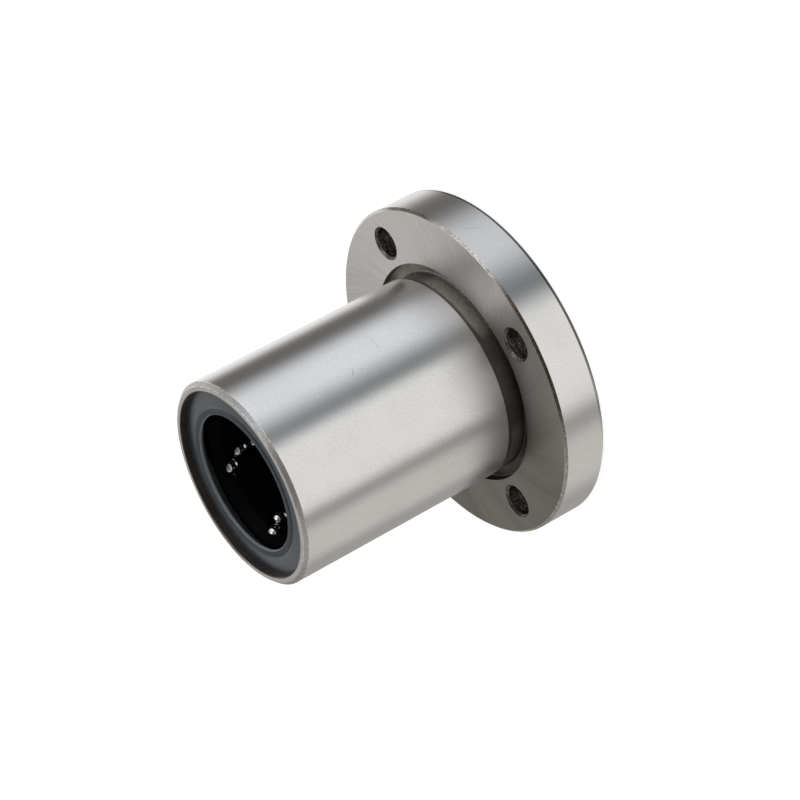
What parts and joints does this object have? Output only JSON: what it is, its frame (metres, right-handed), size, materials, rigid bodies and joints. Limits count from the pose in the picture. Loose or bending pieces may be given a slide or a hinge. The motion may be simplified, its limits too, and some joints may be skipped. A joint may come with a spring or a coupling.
{
  "type": "flanged linear ball bushing",
  "caption": "Flanged linear ball bushing: a ground steel barrel with a round bolting flange at one end, recirculating rows of balls in a cage, and a lip seal at each end.",
  "frame": {"origin": "centre of the flange's outer face, on the bushing's axis", "axes": "+Z along the bore axis, from the flange towards the nose of the barrel; +X through a bolt hole"},
  "size_m": [0.074, 0.074, 0.064],
  "materials": {
    "ground_steel": "ground bright steel, dark scale left in the relief",
    "cage_resin": "black moulded resin, semi-gloss",
    "spring_steel": "oiled spring steel",
    "core_steel": "pressed steel",
    "seal_rubber": "satin slate-black moulded rubber",
    "ball_steel": "polished bearing steel"
  },
  "bodies": {
    "housing": {"outer_sleeve": "ground_steel", "ball_cage": "cage_resin", "nose_stop_ring": "spring_steel", "nose_seal_core": "core_steel", "nose_seal_lip": "seal_rubber", "flange_stop_ring": "spring_steel", "flange_seal_core": "core_steel", "flange_seal_lip": "seal_rubber"},
    "circuit_1_loaded": {"circuit_1_loaded_balls": "ball_steel"},
    "circuit_1_nose_turn": {"circuit_1_nose_turn_balls": "ball_steel"},
    "circuit_1_return": {"circuit_1_return_balls": "ball_steel"},
    "circuit_1_flange_turn": {"circuit_1_flange_turn_balls": "ball_steel"},
    "circuit_2_loaded": {"circuit_2_loaded_balls": "ball_steel"},
    "circuit_2_nose_turn": {"circuit_2_nose_turn_balls": "ball_steel"},
    "circuit_2_return": {"circuit_2_return_balls": "ball_steel"},
    "circuit_2_flange_turn": {"circuit_2_flange_turn_balls": "ball_steel"},
    "circuit_3_loaded": {"circuit_3_loaded_balls": "ball_steel"},
    "circuit_3_nose_turn": {"circuit_3_nose_turn_balls": "ball_steel"},
    "circuit_3_return": {"circuit_3_return_balls": "ball_steel"},
    "circuit_3_flange_turn": {"circuit_3_flange_turn_balls": "ball_steel"},
    "circuit_4_loaded": {"circuit_4_loaded_balls": "ball_steel"},
    "circuit_4_nose_turn": {"circuit_4_nose_turn_balls": "ball_steel"},
    "circuit_4_return": {"circuit_4_return_balls": "ball_steel"},
    "circuit_4_flange_turn": {"circuit_4_flange_turn_balls": "ball_steel"},
    "circuit_5_loaded": {"circuit_5_loaded_balls": "ball_steel"},
    "circuit_5_nose_turn": {"circuit_5_nose_turn_balls": "ball_steel"},
    "circuit_5_return": {"circuit_5_return_balls": "ball_steel"},
    "circuit_5_flange_turn": {"circuit_5_flange_turn_balls": "ball_steel"},
    "circuit_6_loaded": {"circuit_6_loaded_balls": "ball_steel"},
    "circuit_6_nose_turn": {"circuit_6_nose_turn_balls": "ball_steel"},
    "circuit_6_return": {"circuit_6_return_balls": "ball_steel"},
    "circuit_6_flange_turn": {"circuit_6_flange_turn_balls": "ball_steel"}
  },
  "joints": [
    {"name": "circuit_1_loaded_roll", "type": "slide", "parent": "housing", "child": "circuit_1_loaded", "axis": [0, 0, 1], "range_m": [-0.0007, 0.00351]},
    {"name": "circuit_1_return_roll", "type": "slide", "parent": "housing", "child": "circuit_1_return", "axis": [0, 0, 1], "range_m": [-0.00352, 0.0007]},
    {"name": "circuit_1_nose_turn_roll", "type": "hinge", "parent": "housing", "child": "circuit_1_nose_turn", "pos_m": [0.01606, 0.00644, 0.0531], "axis": [-0.9822, -0.1881, 0], "range_deg": [-10, 50]},
    {"name": "circuit_1_flange_turn_roll", "type": "hinge", "parent": "housing", "child": "circuit_1_flange_turn", "pos_m": [0.01606, 0.00644, 0.0109], "axis": [-0.9822, -0.1881, 0], "range_deg": [-10, 50]},
    {"name": "circuit_2_loaded_roll", "type": "slide", "parent": "housing", "child": "circuit_2_loaded", "axis": [0, 0, 1], "range_m": [-0.0007, 0.00351]},
    {"name": "circuit_2_return_roll", "type": "slide", "parent": "housing", "child": "circuit_2_return", "axis": [0, 0, 1], "range_m": [-0.00352, 0.0007]},
    {"name": "circuit_2_nose_turn_roll", "type": "hinge", "parent": "housing", "child": "circuit_2_nose_turn", "pos_m": [0.00245, 0.01713, 0.0531], "axis": [-0.3282, -0.9446, 0], "range_deg": [-10, 50]},
    {"name": "circuit_2_flange_turn_roll", "type": "hinge", "parent": "housing", "child": "circuit_2_flange_turn", "pos_m": [0.00245, 0.01713, 0.0109], "axis": [-0.3282, -0.9446, 0], "range_deg": [-10, 50]},
    {"name": "circuit_3_loaded_roll", "type": "slide", "parent": "housing", "child": "circuit_3_loaded", "axis": [0, 0, 1], "range_m": [-0.0007, 0.00351]},
    {"name": "circuit_3_return_roll", "type": "slide", "parent": "housing", "child": "circuit_3_return", "axis": [0, 0, 1], "range_m": [-0.00352, 0.0007]},
    {"name": "circuit_3_nose_turn_roll", "type": "hinge", "parent": "housing", "child": "circuit_3_nose_turn", "pos_m": [-0.01361, 0.01069, 0.0531], "axis": [0.6539, -0.7565, 0], "range_deg": [-10, 50]},
    {"name": "circuit_3_flange_turn_roll", "type": "hinge", "parent": "housing", "child": "circuit_3_flange_turn", "pos_m": [-0.01361, 0.01069, 0.0109], "axis": [0.6539, -0.7565, 0], "range_deg": [-10, 50]},
    {"name": "circuit_4_loaded_roll", "type": "slide", "parent": "housing", "child": "circuit_4_loaded", "axis": [0, 0, 1], "range_m": [-0.0007, 0.00351]},
    {"name": "circuit_4_return_roll", "type": "slide", "parent": "housing", "child": "circuit_4_return", "axis": [0, 0, 1], "range_m": [-0.00352, 0.0007]},
    {"name": "circuit_4_nose_turn_roll", "type": "hinge", "parent": "housing", "child": "circuit_4_nose_turn", "pos_m": [-0.01606, -0.00644, 0.0531], "axis": [0.9822, 0.1881, 0], "range_deg": [-10, 50]},
    {"name": "circuit_4_flange_turn_roll", "type": "hinge", "parent": "housing", "child": "circuit_4_flange_turn", "pos_m": [-0.01606, -0.00644, 0.0109], "axis": [0.9822, 0.1881, 0], "range_deg": [-10, 50]},
    {"name": "circuit_5_loaded_roll", "type": "slide", "parent": "housing", "child": "circuit_5_loaded", "axis": [0, 0, 1], "range_m": [-0.0007, 0.00351]},
    {"name": "circuit_5_return_roll", "type": "slide", "parent": "housing", "child": "circuit_5_return", "axis": [0, 0, 1], "range_m": [-0.00352, 0.0007]},
    {"name": "circuit_5_nose_turn_roll", "type": "hinge", "parent": "housing", "child": "circuit_5_nose_turn", "pos_m": [-0.00245, -0.01713, 0.0531], "axis": [0.3282, 0.9446, 0], "range_deg": [-10, 50]},
    {"name": "circuit_5_flange_turn_roll", "type": "hinge", "parent": "housing", "child": "circuit_5_flange_turn", "pos_m": [-0.00245, -0.01713, 0.0109], "axis": [0.3282, 0.9446, 0], "range_deg": [-10, 50]},
    {"name": "circuit_6_loaded_roll", "type": "slide", "parent": "housing", "child": "circuit_6_loaded", "axis": [0, 0, 1], "range_m": [-0.0007, 0.00351]},
    {"name": "circuit_6_return_roll", "type": "slide", "parent": "housing", "child": "circuit_6_return", "axis": [0, 0, 1], "range_m": [-0.00352, 0.0007]},
    {"name": "circuit_6_nose_turn_roll", "type": "hinge", "parent": "housing", "child": "circuit_6_nose_turn", "pos_m": [0.01361, -0.01069, 0.0531], "axis": [-0.6539, 0.7565, 0], "range_deg": [-10, 50]},
    {"name": "circuit_6_flange_turn_roll", "type": "hinge", "parent": "housing", "child": "circuit_6_flange_turn", "pos_m": [0.01361, -0.01069, 0.0109], "axis": [-0.6539, 0.7565, 0], "range_deg": [-10, 50]}
  ],
  "couplings": [
    {"joint": "circuit_1_return_roll", "follows": "circuit_1_loaded_roll", "ratio": -1},
    {"joint": "circuit_1_nose_turn_roll", "follows": "circuit_1_loaded_roll", "rad_per_m": 248.21},
    {"joint": "circuit_1_flange_turn_roll", "follows": "circuit_1_loaded_roll", "rad_per_m": 248.21},
    {"joint": "circuit_2_return_roll", "follows": "circuit_2_loaded_roll", "ratio": -1},
    {"joint": "circuit_2_nose_turn_roll", "follows": "circuit_2_loaded_roll", "rad_per_m": 248.21},
    {"joint": "circuit_2_flange_turn_roll", "follows": "circuit_2_loaded_roll", "rad_per_m": 248.21},
    {"joint": "circuit_3_return_roll", "follows": "circuit_3_loaded_roll", "ratio": -1},
    {"joint": "circuit_3_nose_turn_roll", "follows": "circuit_3_loaded_roll", "rad_per_m": 248.21},
    {"joint": "circuit_3_flange_turn_roll", "follows": "circuit_3_loaded_roll", "rad_per_m": 248.21},
    {"joint": "circuit_4_return_roll", "follows": "circuit_4_loaded_roll", "ratio": -1},
    {"joint": "circuit_4_nose_turn_roll", "follows": "circuit_4_loaded_roll", "rad_per_m": 248.21},
    {"joint": "circuit_4_flange_turn_roll", "follows": "circuit_4_loaded_roll", "rad_per_m": 248.21},
    {"joint": "circuit_5_return_roll", "follows": "circuit_5_loaded_roll", "ratio": -1},
    {"joint": "circuit_5_nose_turn_roll", "follows": "circuit_5_loaded_roll", "rad_per_m": 248.21},
    {"joint": "circuit_5_flange_turn_roll", "follows": "circuit_5_loaded_roll", "rad_per_m": 248.21},
    {"joint": "circuit_6_return_roll", "follows": "circuit_6_loaded_roll", "ratio": -1},
    {"joint": "circuit_6_nose_turn_roll", "follows": "circuit_6_loaded_roll", "rad_per_m": 248.21},
    {"joint": "circuit_6_flange_turn_roll", "follows": "circuit_6_loaded_roll", "rad_per_m": 248.21}
  ]
}
